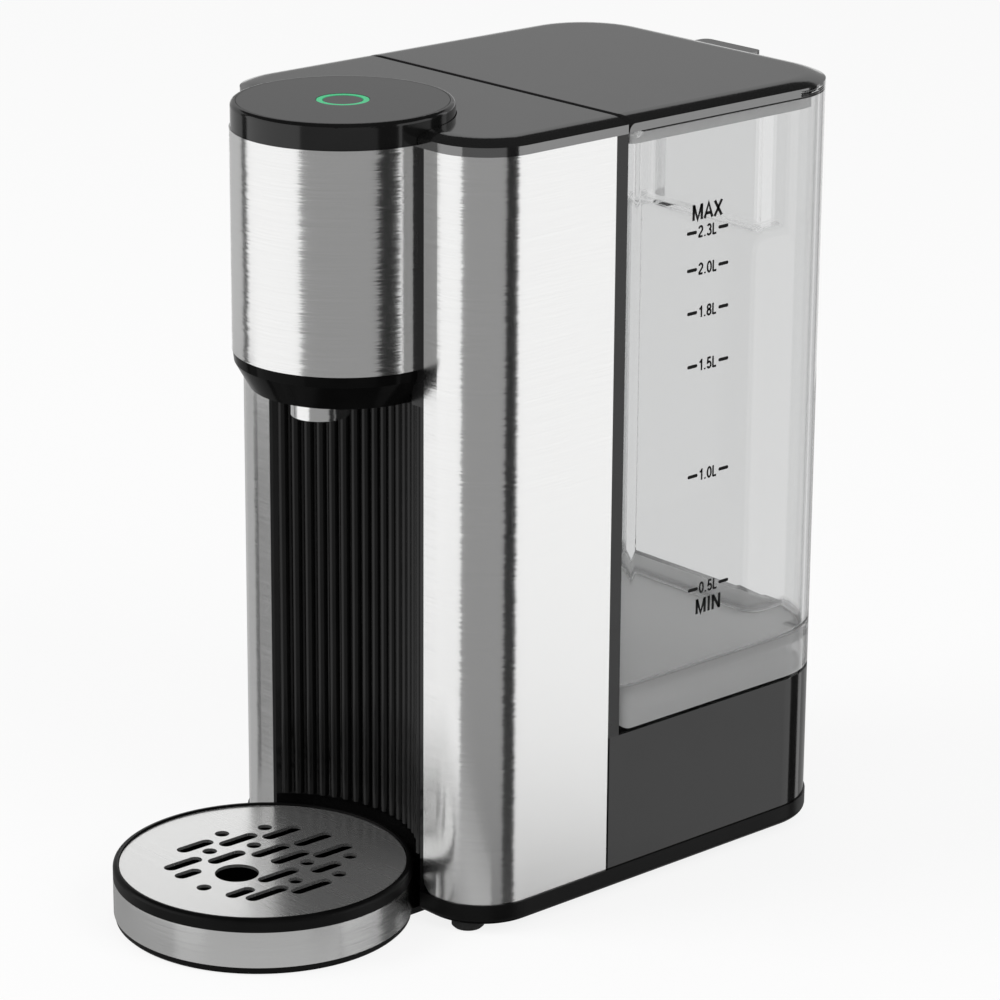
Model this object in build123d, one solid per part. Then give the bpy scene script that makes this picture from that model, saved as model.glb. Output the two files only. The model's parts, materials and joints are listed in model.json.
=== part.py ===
from build123d import *
import math
import os

# A countertop hot water dispenser: a steel-clad body with a half-round head in front,
# a fluted cup bay under the head, a round drip tray and a clear lift-off water tank behind.
# Millimetres, +Z up, the front looks along -Y. The origin is under the middle of the whole part.

# Body
body_width = 144.6
body_depth = 185.8
body_height = 292.4
front_corner = 22.4
rear_corner = 30.0
shell_wall = 2.5
sheet = 0.9
cover_band = 5.3
crown_rise = 2.0
crown_inset = 5.25
crown_round = 18.0
steel_depth = 63.4
spine_depth = 5.5

# Clearances
seat_gap = 0.2
run_gap = 0.06
side_gap = 0.3
tank_gap = 0.6
overrun = 2.0

# Base pan, feet and screws
foot_height = 3.4
foot_radius = 6.0
foot_edge = 0.8
foot_peg_radius = 2.4
foot_peg_rise = 1.5
foot_side = 14.9
foot_front = 8.9
foot_rear = 17.0
base_height = 7.6
base_floor = 3.1
base_wall = 3.0
base_lip = 0.6
base_corner = 23.0
base_edge = 2.2
base_upstand = 8.0
upstand_wall = 1.8
screw_radius = 1.5
screw_head_radius = 3.0
screw_head_height = 1.8
screw_length = 14.0
screw_side = 12.3
screw_front = 10.0
screw_rear = 45.0
boss_radius = 4.0

# Cup bay with the fluted panel
recess_offset = 35.2
recess_radius = 54.2
recess_wall = 2.4
recess_half = 43.0
rib_radius = 2.0
rib_pitch = 5.05
rib_count = 19
rib_start = 13.4

# Steel side panels
fold_depth = 6.0
panel_corner = 6.0

# Rear base and tank seat
rear_base_height = 51.7
platform_inset = 6.0
platform_drop = 4.4
base_seam = 0.9
pad_width = 4.0
window_low = 9.0
window_high = 40.0
window_near = 18.0
window_edge = 12.3
gland_edge = 42.3
gland_rise = 17.0
gland_radius = 5.5
gland_flange_radius = 7.5
gland_flange = 1.5
gland_bore = 3.4

# Head
head_radius = 39.9
head_drop = 98.0
bevel_height = 13.2
bevel_lip_height = 4.0
bevel_lip_inset = 0.7
bevel_inset = 5.9
sleeve_height = 80.3
head_wall = 2.2
flank_depth = 8.0
deck_depth = 7.9
deck_thickness = 2.0
deck_hole_radius = 10.0
deck_hole_back = 14.0

# Nozzle
nozzle_forward = 11.3
nozzle_radius = 10.5
nozzle_wall = 1.8
nozzle_drop = 9.5
nozzle_flange_radius = 13.0
nozzle_flange = 2.0
spout_wall = 2.0
spout_setback = 3.0
spout_throat = 6.0
spout_flange_radius = 12.0
spout_flange = 2.0

# Control cap
cap_radius = 39.5
cap_rise = 4.7
cap_wall = 4.0
cap_round = 1.6
disc_radius = 37.4
disc_thickness = 2.1
light_radius = 9.3
light_width = 2.0
light_sink = 0.1
button_thickness = 2.3
button_sink = 0.2
stem_radius = 2.5
board_radius = 29.0
board_thickness = 1.6
board_post_radius = 2.0
board_post_height = 3.0
board_post_circle = 24.0
board_post_count = 4
switch_width = 6.2
switch_height = 4.5
switch_wall = 1.0
plunger_radius = 1.7
plunger_length = 2.6
plunger_proud = 1.0

# Water tank
tank_wall = 2.5
tank_corner = 6.0
tank_raise = 1.4
skirt_height = 11.3
skirt_corner = 5.0
floor_thickness = 3.4
floor_round = 3.0
rim_step = 2.2
rim_step_back = 30.5
pocket_width = 81.4
pocket_depth = 18.0
pocket_height = 148.0
pocket_corner = 8.0
pocket_round = 5.0
finger_width = 56.0
finger_depth = 5.5

# Lid and its hinge
lid_band = 5.0
lid_gap = 0.2
lid_roof = 2.0
lid_edge = 2.7
lid_skirt_drop = 5.1
lid_skirt_wall = 1.5
lid_skirt_gap = 0.5
lid_skirt_end = 22.0
lid_corner_edge = 27.3
tab_reach = 7.8
tab_width = 30.0
tab_thickness = 2.6
tab_drop = 2.2
tab_corner = 3.0
hinge_inset = 3.4
hinge_scoop = 4.0
hinge_side = 50.0
ear_radius = 1.9
ear_width = 3.0
ear_gap = 0.4
ear_root = 9.0
pin_radius = 1.0
pin_length = 9.0
knuckle_width = 3.0
knuckle_half = 2.2

# Tank valve and its socket
valve_back = 32.0
valve_radius = 8.0
valve_wall = 2.5
valve_flange_radius = 11.0
valve_flange = 1.5
valve_length = 18.3
valve_seat_radius = 3.4
valve_seat_height = 2.0
spider_thickness = 1.4
spider_port_radius = 1.3
spider_port_circle = 3.5
spider_port_count = 5
poppet_radius = 4.8
poppet_thickness = 1.5
poppet_lift = 1.0
poppet_stem_radius = 1.2
poppet_tail = 3.0
seal_radius = 4.6
seal_height = 1.5
spring_radius = 3.6
spring_wire = 0.35
spring_turns = 5
filter_radius = 10.4
filter_height = 3.2
filter_wall = 1.0
filter_slot = 1.4
filter_slot_count = 8
socket_wall = 1.8
socket_flange_radius = 15.0
socket_flange = 2.0
socket_ledge = 3.0
socket_well = 6.0
socket_floor = 4.0
gasket_height = 1.8
socket_pin_radius = 1.3

# Hoses and spigots
hose_radius = 3.0
hose_wall = 0.9
spigot_radius = 2.0
spigot_bore = 1.3
spigot_length = 8.0
bend_share = 0.45

# Pump
pump_edge = 32.3
pump_share = 0.2666
pump_axis = 24.0
pump_radius = 15.0
pump_head_length = 20.0
motor_radius = 12.5
motor_length = 35.0
motor_boss_radius = 4.0
motor_boss_length = 3.0
cradle_half = 14.0
cradle_length = 22.0
cradle_height = 10.0
port_side = 6.0
port_low = 4.0
port_high = 6.0
hose_turn = 19.0
hose_reach = 40.0

# Heater
heater_side = 26.0
heater_forward = 22.8
heater_radius = 14.0
heater_length = 100.0
heater_low = 80.0
heater_rib_radius = 15.2
heater_rib_height = 1.2
heater_rib_count = 9
heater_cap_radius = 15.5
heater_cap_height = 8.0
bracket_wall = 2.0
bracket_height = 9.0
bracket_half = 7.0
bracket_shares = (0.16, 0.84)
cutout_radius = 5.0
cutout_height = 4.0
cutout_shares = (0.42, 0.58)
hot_rise = 36.0
hot_peak = 26.0

# Power board
board_width = 50.0
board_height = 110.0
board_low = 115.0
board_edge = 35.3
board_stand = 6.0
board_stand_radius = 2.5
board_margin = 5.0
relay_width = 16.0
relay_height = 20.0
relay_depth = 12.0
sink_width = 24.0
sink_height = 30.0
sink_depth = 10.0

# Drip tray
tray_reach = 39.9
tray_radius = 54.45
tray_base_height = 2.9
tray_base_inset = 0.6
tray_band_height = 13.5
tray_rim_height = 5.1
tray_rim_round = 1.6
tray_wall = 2.2
tray_floor = 2.0
tray_ledge = 2.6
grille_radius = 52.1
grille_thickness = 1.2
grille_sink = 0.8
grille_hole_radius = 8.0
grille_hole_shares = (0.055, -0.275)
slot_width = 5.4
dot_radius = 2.7
tongue_half = 38.0
tongue_reach = 8.0
tongue_lift = 0.6
slot_shares = (
    (-0.51, -0.35, -0.05),
    (-0.40, -0.06, 0.26),
    (-0.30, 0.25, 0.58),
    (-0.32, -0.61, -0.30),
    (-0.21, -0.31, 0.00),
    (-0.10, -0.01, 0.32),
    (-0.06, 0.34, 0.67),
    (-0.16, -0.64, -0.43),
    (0.08, 0.02, 0.35),
    (0.19, 0.31, 0.65),
    (0.27, -0.25, 0.09),
    (0.38, 0.13, 0.39),
    (0.33, -0.58, -0.35),
    (0.46, -0.51, -0.16),
    (0.57, -0.20, 0.14),
)
dot_shares = (
    (-0.56, 0.08),
    (-0.45, 0.38),
    (-0.37, -0.18),
    (-0.25, 0.12),
    (0.10, -0.60),
    (0.23, 0.21),
    (0.42, -0.05),
    (0.34, 0.51),
    (0.53, 0.25),
)

# Places worked out from the sizes above
half_width = body_width / 2
overall_depth = tray_reach + tray_radius + body_depth + tab_reach
front_y = tray_reach + tray_radius - overall_depth / 2
rear_y = front_y + body_depth
steel_rear_y = front_y + steel_depth
spine_rear_y = steel_rear_y + spine_depth
spine_face_y = spine_rear_y - shell_wall
tank_front_y = spine_rear_y + tank_gap
recess_y = front_y - recess_offset
tray_y = front_y - tray_reach
nozzle_y = front_y - nozzle_forward
base_top = foot_height + base_height
pan_floor = foot_height + base_floor
cover_low = body_height - cover_band
crown_low = body_height - crown_rise
rear_base_top = base_top + rear_base_height
tank_low = rear_base_top + tank_raise
floor_low = tank_low + skirt_height
floor_top = floor_low + floor_thickness
platform_top = floor_low - seat_gap
deck_top = platform_top - platform_drop
lid_low = body_height - lid_band
rim_z = lid_low - lid_gap
head_low = body_height - head_drop
sleeve_low = head_low + bevel_height
sleeve_high = sleeve_low + sleeve_height
cap_top = body_height + cap_rise
shell_radius = head_radius - sheet - seat_gap


# Helpers

def block(x0, x1, y0, y1, z0, z1):
    centre = Pos((x0 + x1) / 2, (y0 + y1) / 2, (z0 + z1) / 2)
    return centre * Box(x1 - x0, y1 - y0, z1 - z0)


def rod(radius, z0, z1, x=0, y=0):
    return Pos(x, y, (z0 + z1) / 2) * Cylinder(radius, z1 - z0)


def tube(outer, inner, z0, z1, x=0, y=0):
    return rod(outer, z0, z1, x, y) - rod(inner, z0, z1, x, y)


def rod_x(radius, x0, x1, y, z):
    return Pos((x0 + x1) / 2, y, z) * Rot(0, 90, 0) * Cylinder(radius, x1 - x0)


def rod_y(radius, y0, y1, x, z):
    return Pos(x, (y0 + y1) / 2, z) * Rot(90, 0, 0) * Cylinder(radius, y1 - y0)


def prism(plan, z0, z1):
    return Pos(0, 0, z0) * extrude(plan, z1 - z0, dir=(0, 0, 1))


def rounded_plan(half, low, high, low_round, high_round):
    plan = Pos(0, (low + high) / 2) * Rectangle(2 * half, high - low)
    if low_round > 0:
        plan = fillet(plan.vertices().group_by(Axis.Y)[0], low_round)
    if high_round > 0:
        plan = fillet(plan.vertices().group_by(Axis.Y)[-1], high_round)
    return plan


def body_plan(inset=0):
    return rounded_plan(half_width - inset, front_y + inset, rear_y - inset,
                        front_corner - inset, rear_corner - inset)


def rear_plan(low, inset=0):
    return rounded_plan(half_width - inset, low + inset, rear_y - inset, 0, rear_corner - inset)


def tank_plan(inset=0):
    return rounded_plan(half_width - inset, tank_front_y + inset, rear_y - inset,
                        tank_corner - inset, rear_corner - inset)


def recess_circle(radius):
    return Pos(0, recess_y) * Circle(radius)


def top_form(low):
    band = prism(body_plan(), low, crown_low)
    foot = Pos(0, 0, crown_low) * body_plan()
    flat = Pos(0, 0, body_height) * body_plan(crown_inset)
    form = band + loft([foot, flat], ruled=True)
    return fillet(form.faces().sort_by(Axis.Z)[-1].edges(), crown_round)


def mirrored_x(shape):
    return mirror(shape, about=Plane.YZ)


def hose(points):
    runs = [b - a for a, b in zip(points, points[1:])]
    radii = []
    for before, after in zip(runs, runs[1:]):
        half_turn = math.radians(before.get_angle(after)) / 2
        shorter = min(before.length, after.length)
        radii.append(bend_share * shorter / math.tan(half_turn))
    path = FilletPolyline(*points, radius=radii)
    section = Circle(hose_radius) - Circle(hose_radius - hose_wall)
    start = Plane(origin=path @ 0, z_dir=path % 0)
    return sweep(start * section, path=path)


# Base pan, feet and screws

foot_x = half_width - foot_side
foot_spots = [
    (side * foot_x, y)
    for side in (-1, 1)
    for y in (front_y + foot_front, rear_y - foot_rear)
]
screw_x = half_width - screw_side
screw_spots = [
    (side * screw_x, y)
    for side in (-1, 1)
    for y in (steel_rear_y + screw_front, rear_y - screw_rear)
]


def base_plan(inset):
    grow = base_lip - inset
    outline = rounded_plan(half_width + grow, front_y - grow, rear_y + grow,
                           base_corner - inset, rear_corner + grow)
    return outline - recess_circle(recess_radius + inset)


def base_pan():
    pan = prism(base_plan(0), foot_height, base_top)
    pan = fillet(pan.faces().sort_by(Axis.Z)[0].edges(), base_edge)
    pan -= prism(base_plan(base_wall), pan_floor, base_top + overrun)
    ring = body_plan(sheet + seat_gap) - body_plan(sheet + seat_gap + upstand_wall)
    window = rounded_plan(half_width, front_y, steel_rear_y - seat_gap, 0, 0)
    window -= rounded_plan(recess_half + sheet + seat_gap, front_y, steel_rear_y, 0, 0)
    pan += prism(ring & window, pan_floor, base_top + base_upstand)
    for x, y in foot_spots:
        pan -= rod(foot_peg_radius + side_gap / 2, foot_height - overrun, pan_floor + overrun, x, y)
    for x, y in screw_spots:
        pan -= rod(screw_radius + side_gap / 2, foot_height - overrun, pan_floor + overrun, x, y)
    return pan


def feet():
    group = []
    for x, y in foot_spots:
        disc = rod(foot_radius, 0, foot_height, x, y)
        disc = chamfer(disc.edges().sort_by(Axis.Z)[0], foot_edge)
        group.append(disc + rod(foot_peg_radius, foot_height, pan_floor + foot_peg_rise, x, y))
    return Compound(children=group)


def base_screws():
    group = []
    for x, y in screw_spots:
        head = rod(screw_head_radius, foot_height - screw_head_height, foot_height, x, y)
        group.append(head + rod(screw_radius, foot_height, foot_height + screw_length, x, y))
    return Compound(children=group)


# Cup bay and cladding

def front_panel():
    window = Pos(0, front_y + body_depth / 2) * Rectangle(2 * recess_half, body_depth)
    wall = (recess_circle(recess_radius + recess_wall) - recess_circle(recess_radius)) & window
    panel = prism(wall, base_top, head_low)
    fluted = wall
    for index in range(rib_count):
        angle = math.radians(90 + rib_pitch * (index - (rib_count - 1) / 2))
        x = recess_radius * math.cos(angle)
        y = recess_y + recess_radius * math.sin(angle)
        fluted += Pos(x, y) * Circle(rib_radius)
    return panel + prism(fluted, base_top + rib_start, head_low)


def side_panel_right():
    wrap = body_plan() - body_plan(sheet)
    reach = half_width - recess_half
    window = Pos(recess_half + reach / 2, front_y + steel_depth / 2) * Rectangle(reach, steel_depth)
    fold = Pos(recess_half + sheet / 2, front_y + fold_depth / 2) * Rectangle(sheet, fold_depth)
    panel = prism((wrap & window) + fold, base_top, cover_low)
    corner = block(recess_half - overrun, recess_half + panel_corner, front_y - overrun,
                   front_y + fold_depth + overrun, base_top - overrun, base_top + panel_corner)
    corner -= rod_y(panel_corner, front_y - overrun, front_y + fold_depth + overrun,
                    recess_half + panel_corner, base_top + panel_corner)
    return panel - corner


# Spine and rear base

board_x = board_edge - half_width


def board_corner_spots():
    across = board_width / 2 - board_margin
    up = board_height / 2 - board_margin
    middle = board_low + board_height / 2
    return [(board_x + i * across, middle + k * up) for i in (-1, 1) for k in (-1, 1)]


def spine_frame():
    frame = block(-half_width, half_width, spine_face_y, spine_rear_y, rear_base_top, cover_low)
    for side in (-1, 1):
        edges = sorted((side * half_width, side * (half_width - shell_wall)))
        frame += block(*edges, steel_rear_y, spine_rear_y, rear_base_top, cover_low)
    for x, z in board_corner_spots():
        frame += rod_y(board_stand_radius, spine_face_y - board_stand, spine_face_y, x, z)
    return frame


def tank_base():
    low = steel_rear_y + base_seam
    outer = prism(rear_plan(low), base_top, rear_base_top)
    outer += prism(tank_plan(platform_inset), rear_base_top - shell_wall, deck_top)
    outer += rod(socket_radius + side_gap + pad_width, rear_base_top, platform_top, 0, valve_y)
    hollow = prism(rear_plan(low, shell_wall), base_top - overrun, rear_base_top - shell_wall)
    inner = platform_inset + shell_wall
    hollow += prism(rear_plan(tank_front_y, inner), base_top, deck_top - shell_wall)
    base = outer - hollow
    base -= block(window_near, half_width - window_edge, low - overrun, low + shell_wall + overrun,
                  base_top + window_low, base_top + window_high)
    base -= rod(socket_radius + side_gap, rear_base_top, platform_top + overrun, 0, valve_y)
    base -= rod_y(gland_radius + seat_gap, rear_y - shell_wall - overrun, rear_y + overrun,
                  gland_edge - half_width, base_top + gland_rise)
    for x, y in screw_spots:
        base += rod(boss_radius, pan_floor, rear_base_top - shell_wall / 2, x, y)
        base -= rod(screw_radius + side_gap / 2, pan_floor - overrun,
                    foot_height + screw_length + overrun, x, y)
    return base


def cord_gland():
    gland_x = gland_edge - half_width
    z = base_top + gland_rise
    gland = rod_y(gland_radius, rear_y - shell_wall, rear_y, gland_x, z)
    gland += rod_y(gland_flange_radius, rear_y, rear_y + gland_flange, gland_x, z)
    inside = rear_y - shell_wall
    gland += rod_y(gland_flange_radius, inside - gland_flange, inside, gland_x, z)
    return gland - rod_y(gland_bore, inside - gland_flange - overrun, rear_y + gland_flange + overrun,
                         gland_x, z)


# Top cover and head

def top_cover():
    shell = top_form(cover_low)
    notch = cap_radius + side_gap
    hollow = prism(body_plan(shell_wall), cover_low - overrun, body_height - shell_wall)
    hollow &= block(-half_width, half_width, front_y, spine_rear_y - shell_wall,
                    cover_low - overrun, body_height)
    hollow -= rod(notch + shell_wall, cover_low - overrun, body_height, 0, front_y)
    shell -= hollow
    shell &= block(-half_width, half_width, front_y, spine_rear_y, cover_low, body_height)
    return shell - rod(notch, cover_low - overrun, body_height + overrun, 0, front_y)


def front_half(shape):
    return shape & block(-half_width, half_width, front_y - 2 * head_radius, front_y, 0, cap_top)


def head_shell():
    inner = shell_radius - head_wall
    deck_top = sleeve_high - deck_depth
    shell = front_half(tube(shell_radius, inner, sleeve_low, sleeve_high, 0, front_y))
    shell += tube(shell_radius, inner, deck_top - deck_thickness, sleeve_high, 0, front_y)
    shell += rod(inner + head_wall / 2, deck_top - deck_thickness, deck_top, 0, front_y)
    for side in (-1, 1):
        edges = sorted((side * inner, side * recess_half))
        shell += block(*edges, front_y, front_y + flank_depth, head_low, cover_low)
    for index in range(board_post_count):
        turn = math.radians(360 / board_post_count * (index + 0.5))
        x = board_post_circle * math.cos(turn)
        y = front_y + board_post_circle * math.sin(turn)
        shell += rod(board_post_radius, deck_top, deck_top + board_post_height, x, y)
    return shell - rod(deck_hole_radius, deck_top - 2 * deck_thickness, deck_top + overrun,
                       0, front_y + deck_hole_back)


def head_sleeve():
    return front_half(tube(head_radius, head_radius - sheet, sleeve_low, sleeve_high, 0, front_y))


def head_base():
    lip_low = sleeve_low - bevel_lip_height
    lip_radius = head_radius - bevel_lip_inset
    low_radius = head_radius - bevel_inset
    floor_z = head_low + shell_wall
    outline = Polyline(
        (0, head_low),
        (low_radius, head_low),
        (lip_radius, lip_low),
        (head_radius - seat_gap, sleeve_low),
        (head_radius - shell_wall, sleeve_low),
        (lip_radius - shell_wall, lip_low),
        (low_radius - shell_wall, floor_z),
        (0, floor_z),
        close=True,
    )
    bowl = Pos(0, front_y) * revolve(make_face(Plane.XZ * outline), Axis.Z)
    half = shell_radius - head_wall - seat_gap
    ceiling = Pos(0, front_y + recess_radius / 2) * Rectangle(2 * half, recess_radius)
    ceiling &= recess_circle(recess_radius + recess_wall)
    base = front_half(bowl) + prism(ceiling, head_low, floor_z)
    return base - rod(nozzle_radius + seat_gap, head_low - overrun, floor_z + overrun, 0, nozzle_y)


def nozzle():
    floor_z = head_low + shell_wall
    flange_top = floor_z + nozzle_flange
    body = rod(nozzle_radius, head_low - nozzle_drop, floor_z, 0, nozzle_y)
    body += rod(nozzle_flange_radius, floor_z, flange_top, 0, nozzle_y)
    return body - rod(nozzle_radius - nozzle_wall, head_low - nozzle_drop - overrun,
                      flange_top + overrun, 0, nozzle_y)


def spout_insert():
    flange_low = head_low + shell_wall + nozzle_flange
    flange_top = flange_low + spout_flange
    outer = nozzle_radius - nozzle_wall - seat_gap
    spout = rod(outer, head_low - nozzle_drop + spout_setback, flange_low, 0, nozzle_y)
    spout += rod(spout_flange_radius, flange_low, flange_top, 0, nozzle_y)
    spout += rod(spigot_radius, flange_top, flange_top + spigot_length, 0, nozzle_y)
    mouth = head_low - nozzle_drop + spout_setback
    spout -= rod(outer - spout_wall, mouth - overrun, mouth + spout_throat, 0, nozzle_y)
    return spout - rod(spigot_bore, mouth, flange_top + spigot_length + overrun, 0, nozzle_y)


# Control cap

deck_z = sleeve_high - deck_depth
board_z = deck_z + board_post_height
board_top_z = board_z + board_thickness
switch_top_z = board_top_z + switch_height
plunger_top_z = switch_top_z + plunger_proud
disc_low_z = cap_top - disc_thickness
light_inner = light_radius - light_width


def cap_ring():
    ring = rod(cap_radius, sleeve_high, cap_top, 0, front_y)
    ring = fillet(ring.faces().sort_by(Axis.Z)[-1].edges(), cap_round)
    ring -= rod(cap_radius - cap_wall, sleeve_high - overrun, cap_top + overrun, 0, front_y)
    return ring - rod(disc_radius + seat_gap, disc_low_z, cap_top + overrun, 0, front_y)


def control_disc():
    return tube(disc_radius, light_radius + seat_gap, disc_low_z, cap_top, 0, front_y)


def light_ring():
    return tube(light_radius, light_inner, board_top_z, cap_top - light_sink, 0, front_y)


def dispense_button():
    top = cap_top - button_sink
    button = rod(light_inner - side_gap, top - button_thickness, top, 0, front_y)
    return button + rod(stem_radius, plunger_top_z, top - button_thickness, 0, front_y)


def switch_plunger():
    return rod(plunger_radius, plunger_top_z - plunger_length, plunger_top_z, 0, front_y)


def tact_switch():
    half = switch_width / 2
    body = block(-half, half, front_y - half, front_y + half, board_top_z, switch_top_z)
    return body - rod(plunger_radius + run_gap, board_top_z + switch_wall / 2,
                      switch_top_z + overrun, 0, front_y)


def control_board():
    return rod(board_radius, board_z, board_top_z, 0, front_y)


# Water tank

def tank_void(width, depth, low, high, corner, edge):
    middle = (low + high) / 2
    face = Plane.XZ * RectangleRounded(width, high - low, corner)
    form = Pos(0, rear_y + overrun, middle) * extrude(face, depth + overrun)
    return fillet(form.faces().sort_by(Axis.Y)[0].edges(), edge)


def tank():
    outer = prism(tank_plan(), tank_low, rim_z + rim_step)
    inside = prism(tank_plan(tank_wall), floor_top, rim_z + rim_step + overrun)
    inside = fillet(inside.faces().sort_by(Axis.Z)[0].edges(), floor_round)
    under = prism(tank_plan(tank_wall), tank_low - overrun, floor_low)
    pocket_low = floor_top + seat_gap
    pocket_high = pocket_low + pocket_height
    pocket_foot = pocket_low - pocket_depth
    pocket = tank_void(pocket_width, pocket_depth, pocket_foot, pocket_high, pocket_corner, pocket_round)
    bump = tank_void(pocket_width + 2 * tank_wall, pocket_depth + tank_wall, pocket_foot - tank_wall,
                     pocket_high + tank_wall, pocket_corner + tank_wall, pocket_round + tank_wall)
    grip_top = rim_z + rim_step + overrun
    pocket -= prism(rear_plan(tank_front_y, -2 * overrun), pocket_foot - overrun, pocket_low)
    bump -= prism(rear_plan(tank_front_y, -2 * overrun), pocket_foot - tank_wall - overrun, floor_low)
    half = finger_width / 2
    grip_low = pocket_high - pocket_corner
    grip = block(-half, half, rear_y - finger_depth, rear_y + overrun, grip_low, grip_top)
    grip_wall = block(-half - tank_wall, half + tank_wall, rear_y - finger_depth - tank_wall, rear_y,
                      grip_low, grip_top)
    form = outer - inside - under + ((bump + grip_wall) & outer) - pocket - grip
    low_rim = block(-half_width, half_width, tank_front_y - overrun, rim_back_y, rim_z, grip_top)
    form -= low_rim
    form -= rod_x(hinge_scoop, -half_width, half_width, hinge_y, hinge_z)
    form -= skirt_corner_cut()
    for side in (-1, 1):
        form += hinge_ear(side * hinge_side)
    return form - rod(valve_radius + seat_gap, floor_low - overrun, floor_top + overrun, 0, valve_y)


def skirt_corner_cut():
    cut = block(-half_width, half_width, tank_front_y - overrun, tank_front_y + skirt_corner,
                tank_low - overrun, tank_low + skirt_corner)
    return cut - rod_x(skirt_corner, -half_width, half_width,
                       tank_front_y + skirt_corner, tank_low + skirt_corner)


# Lid and hinge

hinge_y = tank_front_y + hinge_inset
hinge_z = body_height - hinge_inset
rim_back_y = rear_y - rim_step_back


def hinge_ear(x):
    half = ear_width / 2
    ear = block(x - half, x + half, hinge_y - ear_radius, hinge_y + ear_radius, hinge_z - ear_root, hinge_z)
    ear += rod_x(ear_radius, x - half, x + half, hinge_y, hinge_z)
    return ear - rod_x(pin_radius, x - half - overrun, x + half + overrun, hinge_y, hinge_z)


def tank_lid():
    lid = top_form(lid_low)
    lid &= block(-half_width, half_width, tank_front_y, rear_y, lid_low, body_height)
    lid -= prism(tank_plan(tank_wall), lid_low - overrun, body_height - lid_roof)
    front_edge = lid.edges().filter_by(Axis.X).sort_by(lambda e: e.center().Z - e.center().Y)[-1]
    lid = fillet(front_edge, lid_edge)
    step = block(-half_width, half_width, rim_back_y - lid_gap, rear_y + overrun,
                 lid_low - overrun, lid_low + rim_step)
    step -= block(-finger_width / 2 + tank_wall, finger_width / 2 - tank_wall,
                  rear_y - tank_wall, rear_y + overrun, lid_low - overrun, lid_low + rim_step)
    lid -= step
    lid += lid_skirt()
    tab_top = body_height - tab_drop
    tab_plan = rounded_plan(tab_width / 2, rear_y - tank_wall, rear_y + tab_reach, 0, tab_corner)
    lid += prism(tab_plan, tab_top - tab_thickness, tab_top)
    for side in (-1, 1):
        lid = lid_knuckles(lid, side * hinge_side)
    return lid


def lid_skirt():
    inset = tank_wall + lid_skirt_gap
    ring = tank_plan(inset) - tank_plan(inset + lid_skirt_wall)
    skirt = prism(ring, lid_low - lid_skirt_drop, body_height - lid_roof)
    middle = half_width - lid_corner_edge
    skirt -= block(-middle, middle, tank_front_y, rear_y, lid_low - lid_skirt_drop - overrun, body_height)
    skirt -= block(-half_width, half_width, rear_y - lid_skirt_end, rear_y,
                   lid_low - lid_skirt_drop - overrun, lid_low)
    near_y = tank_front_y + inset + lid_skirt_wall
    return skirt - block(-half_width + inset + lid_skirt_wall, half_width - inset - lid_skirt_wall,
                         tank_front_y, near_y, lid_low - lid_skirt_drop - overrun, body_height)


def lid_knuckles(lid, x):
    half = ear_width / 2 + ear_gap
    lid -= block(x - half, x + half, tank_front_y - overrun, hinge_y + ear_radius + ear_gap,
                 lid_low - overrun, hinge_z + ear_radius + ear_gap)
    for side in (-1, 1):
        near = x + side * half
        edges = sorted((near, near + side * knuckle_width))
        lid += block(*edges, hinge_y - knuckle_half, hinge_y + knuckle_half,
                     lid_low, body_height - lid_roof)
    reach = pin_length / 2 + run_gap
    return lid - rod_x(pin_radius + run_gap, x - reach, x + reach, hinge_y, hinge_z)


def hinge_pins():
    reach = pin_length / 2
    return Compound(children=[
        rod_x(pin_radius, side * hinge_side - reach, side * hinge_side + reach, hinge_y, hinge_z)
        for side in (-1, 1)
    ])


# Tank valve and socket

valve_y = tank_front_y + valve_back
valve_top_z = floor_top + valve_flange
valve_low_z = valve_top_z - valve_length
valve_bore = valve_radius - valve_wall
spider_low_z = valve_top_z - spider_thickness
valve_seat_z = valve_low_z + valve_seat_height
seal_low_z = valve_seat_z + poppet_lift
poppet_low_z = seal_low_z + seal_height
poppet_top_z = poppet_low_z + poppet_thickness
poppet_tip_z = valve_low_z - poppet_tail
socket_bore = valve_radius + tank_gap
socket_radius = socket_bore + socket_wall
socket_high_z = deck_top - shell_wall
socket_ledge_z = valve_low_z - seat_gap - gasket_height
well_z = socket_ledge_z - socket_well
socket_low_z = well_z - socket_floor
well_radius = socket_bore - socket_ledge
socket_port_z = well_z + socket_well / 2


def valve_body():
    body = rod(valve_radius, valve_low_z, floor_top, 0, valve_y)
    body += rod(valve_flange_radius, floor_top, valve_top_z, 0, valve_y)
    body -= rod(valve_bore, valve_seat_z, spider_low_z, 0, valve_y)
    body -= rod(valve_seat_radius, valve_low_z - overrun, valve_seat_z + overrun, 0, valve_y)
    body -= rod(poppet_stem_radius + run_gap, spider_low_z - overrun, valve_top_z + overrun, 0, valve_y)
    for index in range(spider_port_count):
        turn = math.radians(360 / spider_port_count * index)
        x = spider_port_circle * math.cos(turn)
        y = valve_y + spider_port_circle * math.sin(turn)
        body -= rod(spider_port_radius, spider_low_z - overrun, valve_top_z + overrun, x, y)
    return body


def valve_poppet():
    poppet = rod(poppet_stem_radius, poppet_tip_z, spider_low_z + spider_thickness / 2, 0, valve_y)
    return poppet + rod(poppet_radius, poppet_low_z, poppet_top_z, 0, valve_y)


def valve_seal():
    return tube(seal_radius, poppet_stem_radius + seat_gap, seal_low_z, poppet_low_z, 0, valve_y)


def valve_spring():
    low = poppet_top_z + spring_wire + seat_gap / 2
    high = spider_low_z - spring_wire - seat_gap / 2
    pitch = (high - low) / spring_turns
    path = Pos(0, valve_y, low) * Helix(pitch, high - low, spring_radius)
    start = Plane(origin=path @ 0, z_dir=path % 0)
    gap = pitch - 2 * spring_wire
    print("valve spring, least gap between turns", round(gap, 2))
    return sweep(start * Circle(spring_wire), path=path)


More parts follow.
